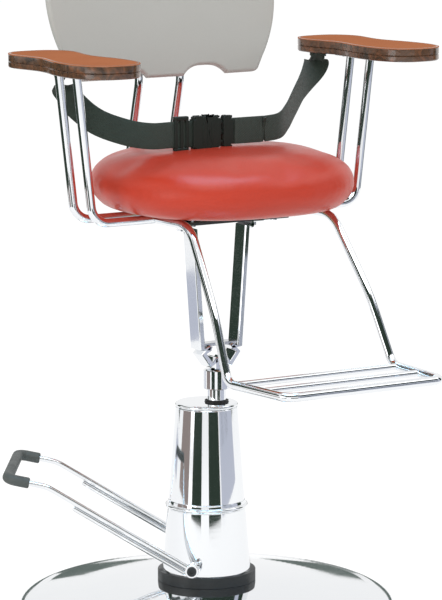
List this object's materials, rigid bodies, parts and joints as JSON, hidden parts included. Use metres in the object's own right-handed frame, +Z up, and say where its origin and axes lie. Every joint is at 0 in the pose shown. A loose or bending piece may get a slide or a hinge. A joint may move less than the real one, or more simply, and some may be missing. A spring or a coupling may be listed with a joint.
{
  "type": "child's barber chair",
  "caption": "Child's barber chair with a chromed hydraulic pump base, red round-edged seat, grey back panel, board armrests on bent rods, lap belt and footrest.",
  "frame": {"origin": "centre of the round base on the floor", "axes": "+Z up, the chair faces -Y, +X is on the sitter's left"},
  "size_m": [0.6153, 0.68, 1.0901],
  "materials": {
    "chrome": "polished",
    "bright_steel": "bright plated",
    "plain_steel": "plain",
    "dark_paint": "matt black",
    "black_casting": "gloss black paint",
    "cast_weight": "plain",
    "bronze": "turned",
    "seal_rubber": "matt",
    "grip_rubber": "matt moulded",
    "plywood": "plain",
    "red_vinyl": "soft satin",
    "arm_board": "brown laminate top with a glossy dark edge",
    "grey_vinyl": "matt",
    "webbing": "woven",
    "buckle_plastic": "fine matt"
  },
  "bodies": {
    "base": {"underplate": "dark_paint", "base_weight": "cast_weight", "base_disc": "chrome", "base_bolts": "plain_steel", "pump_flange": "black_casting", "lower_cover": "chrome", "cover_ring": "chrome", "upper_cover": "chrome", "top_cap": "chrome", "ram_wiper": "seal_rubber", "pressure_cylinder": "plain_steel", "guide_bush": "bronze", "oil_reservoir": "plain_steel", "plunger_cylinder": "plain_steel", "shaft_bushes": "bronze", "plunger_spring": "bright_steel"},
    "lever": {"pivot_shaft": "chrome", "rocker": "plain_steel", "lever_bar": "chrome", "lever_stiffeners": "chrome", "lever_hubs": "bright_steel", "lever_screws": "plain_steel", "lever_grip": "grip_rubber"},
    "plunger": {"plunger": "chrome"},
    "piston": {"piston_head": "plain_steel", "piston_seal": "seal_rubber", "thrust_washer": "bronze"},
    "upper prong": {"prong_upper": "buckle_plastic"},
    "lower prong": {"prong_lower": "buckle_plastic"},
    "seat": {"ram": "chrome", "hub_socket": "bright_steel", "hub_screw": "plain_steel", "yoke_left": "bright_steel", "yoke_right": "bright_steel", "yoke_brace": "plain_steel", "seat_plate": "dark_paint", "plate_bolts": "bright_steel", "seat_board": "plywood", "seat_screws": "bright_steel", "seat_cushion": "red_vinyl", "arm_hoop_front": "chrome", "arm_hoop_rear": "chrome", "arm_bracket_left": "plain_steel", "arm_bracket_right": "plain_steel", "arm_screws": "bright_steel", "armrest_left": "arm_board", "armrest_right": "arm_board", "back_posts": "chrome", "back_bracket": "plain_steel", "back_screws": "bright_steel", "back_panel": "grey_vinyl", "belt_left": "webbing", "belt_right": "webbing", "belt_tail": "webbing", "belt_anchors": "plain_steel", "belt_slider": "buckle_plastic", "buckle_body": "buckle_plastic", "buckle_tongue": "buckle_plastic", "footrest_frame": "chrome", "footrest_rods": "chrome"}
  },
  "joints": [
    {"name": "lift", "type": "slide", "parent": "base", "child": "piston", "axis": [0, 0, 1], "range_m": [0, 0.13]},
    {"name": "swivel", "type": "hinge", "parent": "piston", "child": "seat", "pos_m": [0.01236, -0.0085, 0], "axis": [0, 0, 1], "continuous": true},
    {"name": "pump_lever", "type": "hinge", "parent": "base", "child": "lever", "pos_m": [-0.01483, 0.01019, 0.076], "axis": [-0.5664, -0.8241, 0], "range_deg": [0, 24], "stiffness_Nm_per_rad": 5, "springref_deg": -22.92},
    {"name": "plunger_stroke", "type": "slide", "parent": "base", "child": "plunger", "axis": [0, 0, -1], "range_m": [0, 0.0101], "deforming": ["plunger_spring"]},
    {"name": "squeeze_upper", "type": "slide", "parent": "seat", "child": "upper prong", "axis": [0, 0, -1], "range_m": [0, 0.0045], "stiffness_N_per_m": 800, "springref_m": -0.002},
    {"name": "squeeze_lower", "type": "slide", "parent": "seat", "child": "lower prong", "axis": [0, 0, 1], "range_m": [0, 0.0045], "stiffness_N_per_m": 800, "springref_m": -0.002}
  ],
  "couplings": [
    {"joint": "plunger_stroke", "follows": "pump_lever", "m_per_rad": 0.024}
  ]
}
